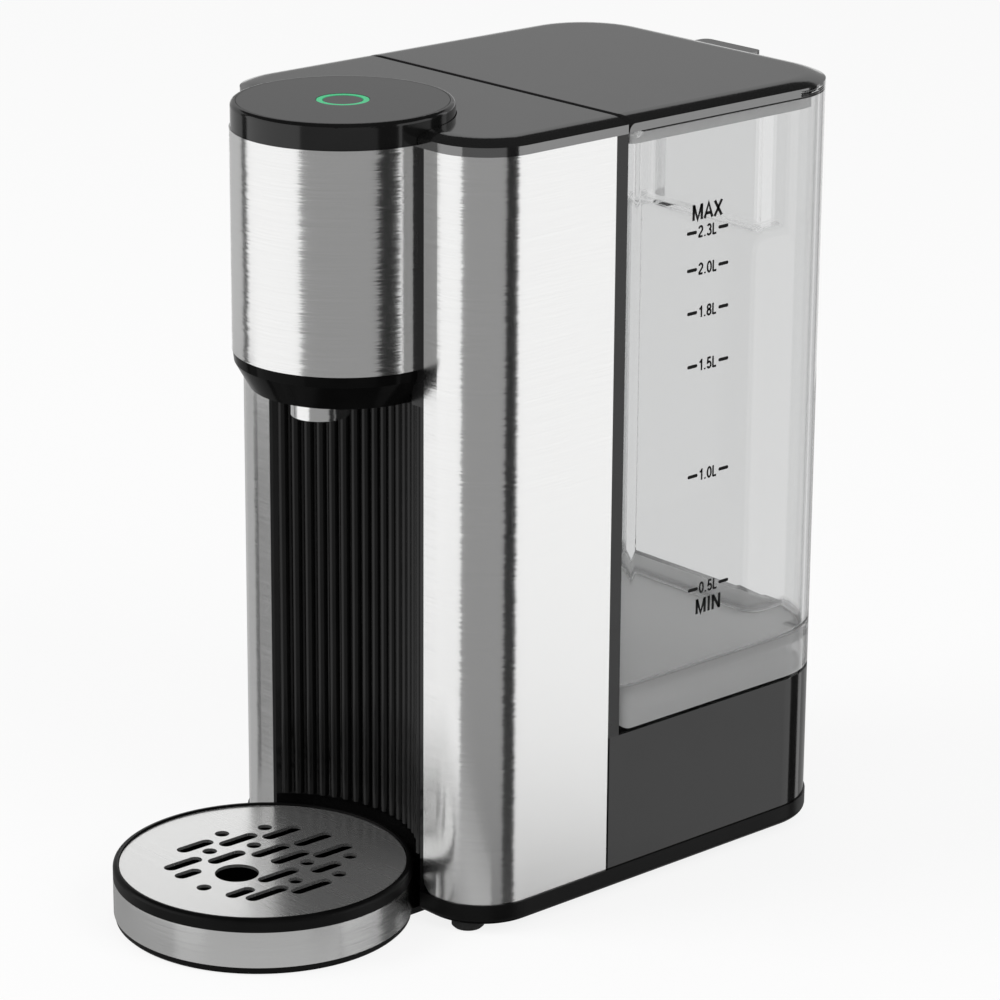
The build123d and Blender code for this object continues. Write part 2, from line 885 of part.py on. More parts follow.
def tank_filter():
    top = valve_top_z + filter_height
    cup = rod(filter_radius, valve_top_z, top, 0, valve_y)
    cup -= rod(filter_radius - filter_wall, valve_top_z - overrun, top - filter_wall, 0, valve_y)
    for index in range(filter_slot_count):
        turn = 180 / filter_slot_count * index
        slot = Box(2 * filter_radius + overrun, filter_slot, filter_height - 2 * filter_wall)
        cup -= Pos(0, valve_y, valve_top_z + filter_height / 2) * Rot(0, 0, turn) * slot
    return cup


def tank_socket():
    cup = rod(socket_radius, socket_low_z, platform_top - seat_gap, 0, valve_y)
    cup += rod(socket_flange_radius, socket_high_z - socket_flange, socket_high_z, 0, valve_y)
    port_end = valve_y - socket_radius - spigot_length
    cup += rod_y(spigot_radius, port_end, valve_y - well_radius, 0, socket_port_z)
    cup -= rod(socket_bore, socket_ledge_z, platform_top + overrun, 0, valve_y)
    cup -= rod(well_radius, well_z, socket_ledge_z + overrun, 0, valve_y)
    cup -= rod_y(spigot_bore, port_end - overrun, valve_y, 0, socket_port_z)
    return cup + rod(socket_pin_radius, well_z, poppet_tip_z - seat_gap, 0, valve_y)


def socket_gasket():
    return tube(socket_bore - seat_gap, well_radius + seat_gap,
                socket_ledge_z, socket_ledge_z + gasket_height, 0, valve_y)


# Pump

pump_side = half_width - pump_edge
pump_y = tank_front_y + pump_share * (rear_y - tank_front_y)
motor_y = pump_y + pump_head_length
suction_port = (pump_side - port_side, pump_axis - port_low)
pressure_port = (pump_side + port_side, pump_axis + port_high)


def pump_head():
    head = rod_y(pump_radius, pump_y, motor_y, pump_side, pump_axis)
    for x, z in (suction_port, pressure_port):
        head += rod_y(spigot_radius, pump_y - spigot_length, pump_y, x, z)
        head -= rod_y(spigot_bore, pump_y - spigot_length - overrun, pump_y + overrun, x, z)
    return head


def pump_motor():
    end = motor_y + motor_length
    motor = rod_y(motor_radius, motor_y, end, pump_side, pump_axis)
    return motor + rod_y(motor_boss_radius, end, end + motor_boss_length, pump_side, pump_axis)


def pump_mount():
    middle = motor_y + motor_length / 2
    near = middle - cradle_length / 2
    far = middle + cradle_length / 2
    cradle = block(pump_side - cradle_half, pump_side + cradle_half, near, far,
                   pan_floor, pan_floor + cradle_height)
    return cradle - rod_y(motor_radius + seat_gap, near - overrun, far + overrun, pump_side, pump_axis)


# Heater

heater_y = spine_face_y - heater_forward
heater_high = heater_low + heater_length
heater_foot_z = heater_low - heater_cap_height
heater_head_z = heater_high + heater_cap_height


def heater_body():
    body = rod(heater_radius, heater_low, heater_high, heater_side, heater_y)
    clear = bracket_height * 2
    first = heater_low + heater_length * bracket_shares[0] + clear / 2
    last = heater_low + heater_length * bracket_shares[1] - clear / 2
    step = (last - first) / (heater_rib_count - 1)
    for index in range(heater_rib_count):
        z = first + step * index
        half = heater_rib_height / 2
        body += rod(heater_rib_radius, z - half, z + half, heater_side, heater_y)
    return body


def heater_caps():
    low = rod(heater_cap_radius, heater_foot_z, heater_low, heater_side, heater_y)
    low += rod(spigot_radius, heater_foot_z - spigot_length, heater_foot_z, heater_side, heater_y)
    low -= rod(spigot_bore, heater_foot_z - spigot_length - overrun, heater_foot_z + overrun,
               heater_side, heater_y)
    high = rod(heater_cap_radius, heater_high, heater_head_z, heater_side, heater_y)
    high += rod(spigot_radius, heater_head_z, heater_head_z + spigot_length, heater_side, heater_y)
    high -= rod(spigot_bore, heater_head_z - overrun, heater_head_z + spigot_length + overrun,
                heater_side, heater_y)
    return Compound(children=[low, high])


def heater_brackets():
    group = []
    bore = heater_radius + seat_gap
    for share in bracket_shares:
        z = heater_low + heater_length * share
        low = z - bracket_height / 2
        high = z + bracket_height / 2
        clamp = rod(bore + bracket_wall, low, high, heater_side, heater_y)
        clamp += block(heater_side - bracket_half, heater_side + bracket_half, heater_y,
                       spine_face_y, low, high)
        group.append(clamp - rod(bore, low - overrun, high + overrun, heater_side, heater_y))
    return Compound(children=group)


def thermal_cutouts():
    group = []
    face = heater_y - heater_rib_radius - seat_gap
    for share in cutout_shares:
        z = heater_low + heater_length * share
        can = rod_y(cutout_radius, face - cutout_height, face, heater_side, z)
        group.append(can)
    return Compound(children=group)


# Power board

def power_board():
    face = spine_face_y - board_stand
    back = face - board_thickness
    left = board_x - board_width / 2
    right = board_x + board_width / 2
    board = block(left, right, back, face, board_low, board_low + board_height)
    relay_x = left + board_margin
    relay_z = board_low + board_margin
    board += block(relay_x, relay_x + relay_width, back - relay_depth, back,
                   relay_z, relay_z + relay_height)
    sink_x = right - board_margin
    sink_z = board_low + board_height - board_margin
    board += block(sink_x - sink_width, sink_x, back - sink_depth, back, sink_z - sink_height, sink_z)
    return board


# Hoses

def suction_hose():
    start = valve_y - socket_radius - seat_gap
    end = pump_y - seat_gap
    turn_y = start - hose_turn
    x, z = suction_port
    return hose([
        Vector(0, start, socket_port_z),
        Vector(0, turn_y, socket_port_z),
        Vector(x, turn_y, z),
        Vector(x, end, z),
    ])


def pressure_hose():
    x, z = pressure_port
    start = pump_y - seat_gap
    rise = heater_foot_z - hose_reach
    return hose([
        Vector(x, start, z),
        Vector(x, steel_rear_y, z),
        Vector(heater_side, heater_y, rise),
        Vector(heater_side, heater_y, heater_foot_z - seat_gap),
    ])


def hot_hose():
    spout_z = head_low + shell_wall + nozzle_flange + spout_flange + seat_gap
    start_z = heater_head_z + seat_gap
    return hose([
        Vector(heater_side, heater_y, start_z),
        Vector(heater_side, heater_y, start_z + hot_rise),
        Vector(0, nozzle_y, spout_z + hot_peak),
        Vector(0, nozzle_y, spout_z),
    ])


# Drip tray

band_low = tray_base_height
band_high = band_low + tray_band_height
rim_high = band_high + tray_rim_height
pan_radius = tray_radius - sheet - seat_gap
grille_top = rim_high - grille_sink
grille_low = grille_top - grille_thickness


def tray_pan():
    pan = rod(tray_radius - tray_base_inset, 0, band_low, 0, tray_y)
    pan = chamfer(pan.edges().sort_by(Axis.Z)[0], foot_edge)
    far = recess_y + recess_radius + tongue_reach
    pan += block(-tongue_half, tongue_half, tray_y, far, tongue_lift, band_low)
    pan += rod(pan_radius, band_low, band_high, 0, tray_y)
    return pan - rod(pan_radius - tray_wall, tray_floor, band_high + overrun, 0, tray_y)


def tray_band():
    return tube(tray_radius, tray_radius - sheet, band_low, band_high, 0, tray_y)


def tray_rim():
    rim = rod(tray_radius, band_high, rim_high, 0, tray_y)
    rim = fillet(rim.faces().sort_by(Axis.Z)[-1].edges(), tray_rim_round)
    rim -= rod(grille_radius - tray_ledge, band_high - overrun, rim_high + overrun, 0, tray_y)
    return rim - rod(grille_radius + side_gap, grille_low - seat_gap, rim_high + overrun, 0, tray_y)


def tray_grille():
    plate = Circle(grille_radius)
    hole_x, hole_y = (share * grille_radius for share in grille_hole_shares)
    plate -= Pos(hole_x, hole_y) * Circle(grille_hole_radius)
    for x_share, low_share, high_share in slot_shares:
        length = (high_share - low_share) * grille_radius
        middle = (high_share + low_share) / 2 * grille_radius
        plate -= Pos(x_share * grille_radius, middle) * Rot(0, 0, 90) * SlotOverall(length, slot_width)
    for x_share, y_share in dot_shares:
        plate -= Pos(x_share * grille_radius, y_share * grille_radius) * Circle(dot_radius)
    return prism(Pos(0, tray_y) * plate, grille_low, grille_top)


# Write each piece

right_panel = side_panel_right()

pieces = {
    "base_pan": base_pan(),
    "feet": feet(),
    "base_screws": base_screws(),
    "front_panel": front_panel(),
    "side_panel_right": right_panel,
    "side_panel_left": mirrored_x(right_panel),
    "spine_frame": spine_frame(),
    "tank_base": tank_base(),
    "cord_gland": cord_gland(),
    "top_cover": top_cover(),
    "head_shell": head_shell(),
    "head_sleeve": head_sleeve(),
    "head_base": head_base(),
    "nozzle": nozzle(),
    "spout_insert": spout_insert(),
    "cap_ring": cap_ring(),
    "control_disc": control_disc(),
    "light_ring": light_ring(),
    "dispense_button": dispense_button(),
    "switch_plunger": switch_plunger(),
    "tact_switch": tact_switch(),
    "control_board": control_board(),
    "tank": tank(),
    "tank_lid": tank_lid(),
    "hinge_pins": hinge_pins(),
    "valve_body": valve_body(),
    "valve_poppet": valve_poppet(),
    "valve_seal": valve_seal(),
    "valve_spring": valve_spring(),
    "tank_filter": tank_filter(),
    "tank_socket": tank_socket(),
    "socket_gasket": socket_gasket(),
    "pump_head": pump_head(),
    "pump_motor": pump_motor(),
    "pump_mount": pump_mount(),
    "heater_body": heater_body(),
    "heater_caps": heater_caps(),
    "heater_brackets": heater_brackets(),
    "thermal_cutouts": thermal_cutouts(),
    "power_board": power_board(),
    "suction_hose": suction_hose(),
    "pressure_hose": pressure_hose(),
    "hot_hose": hot_hose(),
    "tray_pan": tray_pan(),
    "tray_band": tray_band(),
    "tray_rim": tray_rim(),
    "tray_grille": tray_grille(),
}

os.makedirs("parts", exist_ok=True)
for name, piece in pieces.items():
    export_step(piece, f"parts/{name}.step")
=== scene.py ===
import json
import math

import bmesh
import bpy
from mathutils import Matrix, Vector


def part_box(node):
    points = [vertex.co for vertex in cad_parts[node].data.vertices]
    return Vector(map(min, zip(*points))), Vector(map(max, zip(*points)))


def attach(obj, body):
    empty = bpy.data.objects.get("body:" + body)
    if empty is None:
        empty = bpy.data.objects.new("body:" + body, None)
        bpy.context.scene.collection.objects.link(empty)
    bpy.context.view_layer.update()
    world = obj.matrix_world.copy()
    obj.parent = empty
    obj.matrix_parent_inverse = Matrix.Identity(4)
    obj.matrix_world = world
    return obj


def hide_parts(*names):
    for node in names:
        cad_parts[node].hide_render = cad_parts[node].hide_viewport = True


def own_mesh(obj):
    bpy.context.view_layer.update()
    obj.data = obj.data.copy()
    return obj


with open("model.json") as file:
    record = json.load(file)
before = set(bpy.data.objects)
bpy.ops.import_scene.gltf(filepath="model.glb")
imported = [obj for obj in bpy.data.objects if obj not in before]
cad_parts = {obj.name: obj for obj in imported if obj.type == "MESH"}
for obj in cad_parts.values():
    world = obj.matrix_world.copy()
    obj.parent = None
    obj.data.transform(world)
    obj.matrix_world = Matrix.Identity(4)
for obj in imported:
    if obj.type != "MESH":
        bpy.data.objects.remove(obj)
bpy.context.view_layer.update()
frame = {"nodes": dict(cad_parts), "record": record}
nodes = frame["nodes"]
node_slot = {row["node"]: row["material_slot"] for row in frame["record"]["subparts"]}
scene = bpy.context.scene
scene.view_settings.view_transform = "Standard"
MM = 0.001


# Camera at the photograph's place

YAW_DEG, PITCH_DEG, ROLL_DEG = 47.916, -18.273, 0.358
CAMERA_PLACE = (1.0713, -0.9450, 0.6105)
LENS_MM, SENSOR_MM = 146.99, 36.0
LENS_SHIFT = (0.0062, 0.0014)
CLIP_NEAR, CLIP_FAR = 0.05, 60.0

yaw, pitch, roll = (math.radians(angle) for angle in (YAW_DEG, PITCH_DEG, ROLL_DEG))
forward = Vector((-math.sin(yaw) * math.cos(pitch), math.cos(yaw) * math.cos(pitch), math.sin(pitch)))
right = forward.cross(Vector((0, 0, 1))).normalized()
above = right.cross(forward)
tilted_right = math.cos(roll) * right + math.sin(roll) * above
tilted_up = math.cos(roll) * above - math.sin(roll) * right
lens = bpy.data.cameras.new("camera")
lens.lens = LENS_MM
lens.sensor_width = SENSOR_MM
lens.shift_x, lens.shift_y = LENS_SHIFT
lens.clip_start, lens.clip_end = CLIP_NEAR, CLIP_FAR
camera = bpy.data.objects.new("camera", lens)
turn = Matrix((tilted_right, tilted_up, -forward)).transposed().to_4x4()
camera.matrix_world = Matrix.Translation(CAMERA_PLACE) @ turn
scene.collection.objects.link(camera)
scene.camera = camera


# Mesh helpers

def place_piece(name, mesh):
    piece = bpy.data.objects.new(name, mesh)
    scene.collection.objects.link(piece)
    return piece


def place_form(name, form):
    mesh = bpy.data.meshes.new(name)
    form.to_mesh(mesh)
    form.free()
    return place_piece(name, mesh)


# Node helpers

NOISE_LOW, NOISE_HIGH = 0.3, 0.7
EVEN = (1, 1, 1)


def grey(level):
    return (level, level, level)


def new_material(name):
    material = bpy.data.materials.new(name)
    material.use_nodes = True
    tree = material.node_tree
    tree.nodes.clear()
    out = tree.nodes.new("ShaderNodeOutputMaterial")
    return material, tree, out


def principled(tree, out, **values):
    shader = tree.nodes.new("ShaderNodeBsdfPrincipled")
    for key, value in values.items():
        shader.inputs[key.replace("_", " ")].default_value = value
    tree.links.new(shader.outputs["BSDF"], out.inputs["Surface"])
    return shader


def stretched_noise(tree, stretch, scale, detail=2.0):
    place = tree.nodes.new("ShaderNodeTexCoord")
    mapping = tree.nodes.new("ShaderNodeMapping")
    mapping.inputs["Scale"].default_value = stretch
    noise = tree.nodes.new("ShaderNodeTexNoise")
    noise.inputs["Scale"].default_value = scale
    noise.inputs["Detail"].default_value = detail
    tree.links.new(place.outputs["Object"], mapping.inputs["Vector"])
    tree.links.new(mapping.outputs["Vector"], noise.inputs["Vector"])
    return noise.outputs["Fac"]


def ramp(tree, source, low, high, from_low=NOISE_LOW, from_high=NOISE_HIGH):
    spread = tree.nodes.new("ShaderNodeMapRange")
    spread.inputs["From Min"].default_value = from_low
    spread.inputs["From Max"].default_value = from_high
    spread.inputs["To Min"].default_value = low
    spread.inputs["To Max"].default_value = high
    tree.links.new(source, spread.inputs["Value"])
    return spread.outputs["Result"]


def two_tone(tree, source, dark, light, from_low=NOISE_LOW, from_high=NOISE_HIGH):
    mix = tree.nodes.new("ShaderNodeValToRGB")
    mix.color_ramp.elements[0].position = from_low
    mix.color_ramp.elements[1].position = from_high
    mix.color_ramp.elements[0].color = (*dark, 1)
    mix.color_ramp.elements[1].color = (*light, 1)
    tree.links.new(source, mix.inputs["Fac"])
    return mix.outputs["Color"]


def maths(tree, operation, first, second):
    node = tree.nodes.new("ShaderNodeMath")
    node.operation = operation
    for socket, value in zip(node.inputs, (first, second)):
        if isinstance(value, (int, float)):
            socket.default_value = value
        else:
            tree.links.new(value, socket)
    return node.outputs[0]


def times(tree, first, second):
    return maths(tree, "MULTIPLY", first, second)


def larger(tree, first, second):
    return maths(tree, "MAXIMUM", first, second)


def one_less(tree, source):
    return maths(tree, "SUBTRACT", 1.0, source)


def scaled(tree, vector, amount):
    node = tree.nodes.new("ShaderNodeVectorMath")
    node.operation = "SCALE"
    tree.links.new(vector, node.inputs["Vector"])
    tree.links.new(amount, node.inputs["Scale"])
    return node.outputs["Vector"]


def place_axes(tree):
    place = tree.nodes.new("ShaderNodeTexCoord")
    parts = tree.nodes.new("ShaderNodeSeparateXYZ")
    tree.links.new(place.outputs["Object"], parts.inputs["Vector"])
    return parts.outputs["X"], parts.outputs["Y"], parts.outputs["Z"]


def step_up(tree, source, at, blur):
    return ramp(tree, source, 0.0, 1.0, at - blur, at + blur)


def between(tree, source, span, blur):
    low, high = span
    return times(tree, step_up(tree, source, low, blur), one_less(tree, step_up(tree, source, high, blur)))


def bump(tree, shader, source, strength, distance):
    node = tree.nodes.new("ShaderNodeBump")
    node.inputs["Strength"].default_value = strength
    node.inputs["Distance"].default_value = distance
    tree.links.new(source, node.inputs["Height"])
    tree.links.new(node.outputs["Normal"], shader.inputs["Normal"])


# Finishes

SKIN_STRENGTH, LINE_STRENGTH = 0.2, 0.1
FINE_DEPTH = 0.00001
CLOUD_SCALE = 60.0
GLOSS_GRAIN, SATIN_GRAIN = 900.0, 1800.0
SATIN_DEPTH = 0.00003


def moulded(name, dark, light, rough_low, rough_high, grain, grain_depth, gloss=0.5):
    material, tree, out = new_material(name)
    shader = principled(tree, out, Specular_IOR_Level=gloss)
    cloud = stretched_noise(tree, EVEN, CLOUD_SCALE)
    tree.links.new(two_tone(tree, cloud, dark, light), shader.inputs["Base Color"])
    tree.links.new(ramp(tree, cloud, rough_low, rough_high), shader.inputs["Roughness"])
    bump(tree, shader, stretched_noise(tree, EVEN, grain, 3.0), SKIN_STRENGTH, grain_depth)
    return material


def swayed(tree, tangent, lean):
    shape = tree.nodes.new("ShaderNodeNewGeometry")
    turned = tree.nodes.new("ShaderNodeVectorMath")
    turned.operation = "ADD"
    tree.links.new(shape.outputs["Normal"], turned.inputs[0])
    tree.links.new(scaled(tree, tangent, lean), turned.inputs[1])
    whole = tree.nodes.new("ShaderNodeVectorMath")
    whole.operation = "NORMALIZE"
    tree.links.new(turned.outputs["Vector"], whole.inputs[0])
    return whole.outputs["Vector"]


SWAY_STRETCH = (70, 70, 2600)
SWAY_LOW, SWAY_HIGH = 0.2, 0.8
QUARTER_TURN = 0.25


def brushed(name, light, dark, rough_low, rough_high, stretch, anisotropy, waver=0.0, metal=1.0):
    material, tree, out = new_material(name)
    shader = principled(tree, out, Metallic=metal, Anisotropic=anisotropy, Anisotropic_Rotation=QUARTER_TURN)
    lines = stretched_noise(tree, stretch, 1.0, 4.0)
    tree.links.new(two_tone(tree, lines, dark, light), shader.inputs["Base Color"])
    tree.links.new(ramp(tree, lines, rough_low, rough_high), shader.inputs["Roughness"])
    tangent = tree.nodes.new("ShaderNodeTangent")
    tangent.direction_type = "RADIAL"
    tangent.axis = "Z"
    tree.links.new(tangent.outputs["Tangent"], shader.inputs["Tangent"])
    if waver:
        sway = stretched_noise(tree, SWAY_STRETCH, 1.0, 3.0)
        lean = ramp(tree, sway, -waver, waver, SWAY_LOW, SWAY_HIGH)
        tree.links.new(swayed(tree, tangent.outputs["Tangent"], lean), shader.inputs["Normal"])
    else:
        bump(tree, shader, lines, LINE_STRENGTH, FINE_DEPTH)
    return material


# Where the tank's finish and its painted light and shade change, in metres: side is the distance from its middle
# plane

BAR_SIDE, BAR_LOW, BAR_FRONT = (0.0272, 0.0310), 0.2245, 0.1275
GRIP_SIDE, GRIP_FRONT = (0.0375, 0.0445), 0.1150
BED_SIDE, BED_DEPTH, BED_HEIGHT = 0.0690, (0.0230, 0.1330), (0.0786, 0.0792)
FOOT_TOP = 0.0812
RIM_HEIGHT = (0.2868, 0.2875)
CORNER_SIDE, BEND_DEPTH, CREASE_DEPTH = 0.0580, (0.1178, 0.1310), (0.1196, 0.1220)
SOFT_BLUR = 0.001
TANK_INDEX = 1.2
TANK_HAZE = (0.02, 0.05)
WALL_TONE, PAINTED_LIGHT_TONE = (0.795, 0.798, 0.798), grey(0.97)
FOOT_PAINTED_MILK, BED_PAINTED_MILK, GRIP_PAINTED_LIGHT = 0.32, 0.95, 0.45
RIM_SHADE, BEND_SHADE, CREASE_SHADE = 0.97, 0.30, 0.60
LEAST_TONE = 0.02


def clear(name):
    material, tree, out = new_material(name)
    shader = principled(tree, out, IOR=TANK_INDEX, Transmission_Weight=1.0)
    haze = stretched_noise(tree, EVEN, 35.0)
    tree.links.new(ramp(tree, haze, *TANK_HAZE), shader.inputs["Roughness"])
    x, y, z = place_axes(tree)
    side = maths(tree, "ABSOLUTE", x, 0.0)

    # Painted light: the pad under the tank is made milky, and its floor milky and nearly white, in place of the lamp
    # light that the clear walls keep out; its rim is a painted shadow line
    foot = one_less(tree, step_up(tree, z, FOOT_TOP, SOFT_BLUR))
    inside = one_less(tree, step_up(tree, side, BED_SIDE, 0.0003))
    inside = times(tree, inside, between(tree, y, BED_DEPTH, 0.0003))
    # Painted light: the floor patch is made pale and milky
    bed_painted_light = times(tree, between(tree, z, BED_HEIGHT, 0.0001), inside)
    # Painted shadow: a dark line along the top rim, which is not clear
    rim_painted_shadow = between(tree, z, RIM_HEIGHT, 0.00005)
    # Painted light: the pad and the floor are made less clear
    painted_milk = larger(tree, times(tree, foot, FOOT_PAINTED_MILK), times(tree, bed_painted_light, BED_PAINTED_MILK))
    tree.links.new(one_less(tree, larger(tree, painted_milk, rim_painted_shadow)), shader.inputs["Transmission Weight"])

    # Painted light and shade: the finger recess and the grip pocket get painted highlights on their edges, and the
    # rear corners get painted shade lines
    bar_painted_highlight = times(tree, between(tree, side, BAR_SIDE, 0.0003), step_up(tree, z, BAR_LOW, SOFT_BLUR))
    bar_painted_highlight = times(tree, bar_painted_highlight, step_up(tree, y, BAR_FRONT, SOFT_BLUR))
    grip_painted_light = times(tree, between(tree, x, GRIP_SIDE, SOFT_BLUR), step_up(tree, y, GRIP_FRONT, SOFT_BLUR))
    # Painted light: the recess bars, the grip face and the floor patch are made paler than the walls
    pale = larger(tree, times(tree, grip_painted_light, GRIP_PAINTED_LIGHT), larger(tree, bed_painted_light, bar_painted_highlight))
    tone = two_tone(tree, pale, WALL_TONE, PAINTED_LIGHT_TONE)
    corner = step_up(tree, side, CORNER_SIDE, SOFT_BLUR)
    # Painted shade: dark lines down the rear corners
    bend_painted_shade = times(tree, between(tree, y, BEND_DEPTH, 0.0006), times(tree, corner, BEND_SHADE))
    crease_painted_shade = times(tree, between(tree, y, CREASE_DEPTH, 0.0004), times(tree, corner, CREASE_SHADE))
    # Painted shade from the rim line and the corner lines darkens the base colour
    shade = maths(tree, "ADD", times(tree, rim_painted_shadow, RIM_SHADE), larger(tree, bend_painted_shade, crease_painted_shade))
    left = larger(tree, one_less(tree, shade), LEAST_TONE)
    tree.links.new(scaled(tree, tone, left), shader.inputs["Base Color"])
    return material


def lacquer(name, index, painted_light_skirt_from):
    material, tree, out = new_material(name)
    shader = principled(tree, out, IOR=index)
    x, y, z = place_axes(tree)
    # Painted light: below the given height the black lacquer is made mid-grey, where the lid's skirt shows behind the
    # tank's wall
    painted_light_skirt = one_less(tree, step_up(tree, z, painted_light_skirt_from, 0.00005))
    tree.links.new(two_tone(tree, painted_light_skirt, grey(0.0075), grey(0.5), 0.0, 1.0), shader.inputs["Base Color"])
    cloud = stretched_noise(tree, EVEN, CLOUD_SCALE)
    tree.links.new(ramp(tree, cloud, 0.09, 0.13), shader.inputs["Roughness"])
    bump(tree, shader, stretched_noise(tree, EVEN, GLOSS_GRAIN, 3.0), SKIN_STRENGTH, FINE_DEPTH)
    return material


def lit(name, colour, strength):
    material, tree, out = new_material(name)
    shader = principled(tree, out, Roughness=0.3, Emission_Strength=strength)
    shader.inputs["Emission Color"].default_value = (*colour, 1)
    glow = stretched_noise(tree, EVEN, 300.0)
    dimmer = [part * 0.9 for part in colour]
    tree.links.new(two_tone(tree, glow, dimmer, colour), shader.inputs["Base Color"])
    return material


def ink(name):
    material, tree, out = new_material(name)
    shader = principled(tree, out, Specular_IOR_Level=0.1)
    cloud = stretched_noise(tree, EVEN, 400.0)
    tree.links.new(two_tone(tree, cloud, grey(0.004), grey(0.01)), shader.inputs["Base Color"])
    tree.links.new(ramp(tree, cloud, 0.35, 0.45), shader.inputs["Roughness"])
    return material


def glossy_black(name, dark, light, rough_low, rough_high, gloss):
    return moulded(name, grey(dark), grey(light), rough_low, rough_high, GLOSS_GRAIN, FINE_DEPTH, gloss)


def satin_black(name, dark, light, rough_low, rough_high, gloss):
    return moulded(name, grey(dark), grey(light), rough_low, rough_high, SATIN_GRAIN, SATIN_DEPTH, gloss)


finishes = {
    "black_gloss": glossy_black("black_gloss", 0.006, 0.009, 0.09, 0.13, 0.5),
    "black_satin": satin_black("black_satin", 0.008, 0.012, 0.24, 0.32, 0.5),
    "steel": brushed(
        "steel", (0.93, 0.93, 0.925), (0.86, 0.86, 0.855), 0.17, 0.25, (30, 30, 7000), 0.72, 0.045),
    "clear_tank": clear("clear_tank"),
    "light_ring": lit("light_ring", (0.03, 0.4, 0.17), 0.6),
    "rubber": moulded("rubber", grey(0.012), grey(0.02), 0.6, 0.75, 2200.0, 0.00004),
    "zinc_steel": brushed("zinc_steel", grey(0.62), grey(0.5), 0.25, 0.4, grey(400), 0.0),
    "white_plastic": moulded(
        "white_plastic", (0.7, 0.7, 0.69), (0.78, 0.78, 0.77), 0.3, 0.4, 1500.0, 0.00002),
    "heater_alloy": brushed(
        "heater_alloy", (0.68, 0.68, 0.67), (0.56, 0.56, 0.55), 0.4, 0.55, grey(700), 0.0),
    "circuit_board": moulded(
        "circuit_board", (0.01, 0.09, 0.04), (0.015, 0.13, 0.055), 0.3, 0.45, 1200.0, 0.00002),
}
rim_black = satin_black("rim_black", 0.003, 0.005, 0.3, 0.4, 0.15)
special = {
    "front_panel": glossy_black("ribbed_black", 0.005, 0.008, 0.10, 0.15, 0.3),
    "tray_grille": brushed(
        "grille_steel", (0.88, 0.88, 0.87), (0.8, 0.8, 0.795), 0.2, 0.28, (9, 1800, 9), 0.0, 0.0, 0.86),
    # The lid's skirt below 0.2872 m is painted light, mid-grey on black
    "tank_lid": lacquer("lid_black", 2.8, 0.2872),
    "top_cover": lacquer("cover_black", 2.85, 0.0),
    "base_pan": satin_black("base_black", 0.003, 0.005, 0.3, 0.4, 0.15),
    "head_base": glossy_black("bevel_black", 0.003, 0.005, 0.1, 0.14, 0.05),
    "tray_rim": rim_black,
    "tray_pan": rim_black,
}
for name, obj in nodes.items():
    obj.data.materials.clear()
    obj.data.materials.append(special.get(name) or finishes[node_slot[name]])


# Capacity marks printed on the tank's right wall

INK_LIFT = 0.00003
ink_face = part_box("tank")[1].x + INK_LIFT
ink_material = ink("ink")


def ride_tank(obj):
    obj.data.materials.append(ink_material)
    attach(obj, "tank")


def arc(middle, radii, from_angle, to_angle):
    steps = max(4, int(abs(to_angle - from_angle) / 15))
    turns = [math.radians(from_angle + (to_angle - from_angle) * step / steps) for step in range(steps + 1)]
    return [(middle[0] + radii[0] * math.cos(turn), middle[1] + radii[1] * math.sin(turn)) for turn in turns]


# Each sign: its width and its strokes, for a height of 1. A stroke reaches this far to each side
STROKE = 0.098
SIGN_GAP = 0.09
SIGNS = {
    "0": (0.56, [arc((0.28, 0.5), (0.21, 0.434), 0, 360)]),
    "1": (0.48, [[(0.31, 0.0), (0.31, 1.0)], [(0.31, 0.85), (0.07, 0.70)]]),
    "2": (0.56, [arc((0.28, 0.70), (0.20, 0.234), 168, -38) + [(0.10, 0.16), (0.07, 0.066)],
                 [(0.03, 0.066), (0.51, 0.066)]]),
    "3": (0.56, [arc((0.26, 0.725), (0.19, 0.209), 155, -90), arc((0.26, 0.29), (0.22, 0.224), 90, -158)]),
    "5": (0.56, [[(0.49, 0.934), (0.15, 0.934), (0.11, 0.50)] + arc((0.28, 0.32), (0.21, 0.254), 135, -158)]),
    "8": (0.56, [arc((0.28, 0.735), (0.18, 0.199), 0, 360), arc((0.28, 0.285), (0.21, 0.219), 0, 360)]),
    "L": (0.50, [[(0.09, 1.0), (0.09, 0.0)], [(0.09, 0.066), (0.48, 0.066)]]),
    ".": (0.26, [[(0.13, 0.0), (0.13, 0.14)]]),
    "M": (0.84, [[(0.10, 0.0), (0.10, 1.0)], [(0.74, 0.0), (0.74, 1.0)], [(0.12, 0.96), (0.42, 0.04), (0.72, 0.96)]]),
    "A": (0.68, [[(0.04, 0.0), (0.34, 0.95), (0.64, 0.0)], [(0.15, 0.31), (0.53, 0.31)]]),
    "X": (0.66, [[(0.05, 0.0), (0.61, 1.0)], [(0.05, 1.0), (0.61, 0.0)]]),
    "I": (0.28, [[(0.14, 0.0), (0.14, 1.0)]]),
    "N": (0.72, [[(0.10, 0.0), (0.10, 1.0)], [(0.62, 0.0), (0.62, 1.0)], [(0.11, 0.95), (0.61, 0.05)]]),
}


def stroke_sides(points):
    looped = math.dist(points[0], points[-1]) < 1e-6
    ways = [(Vector(after) - Vector(before)).normalized() for before, after in zip(points, points[1:])]
    sides = []
    for step, point in enumerate(points):
        inward = ways[step - 1] if step or looped else ways[0]
        outward = ways[step] if step < len(ways) else (ways[0] if looped else ways[-1])
        middle = (inward + outward).normalized()
        reach = STROKE / max(0.5, middle.dot(outward))
        across = Vector((-middle.y, middle.x)) * reach
        sides.append((Vector(point) - across, Vector(point) + across))
    return sides


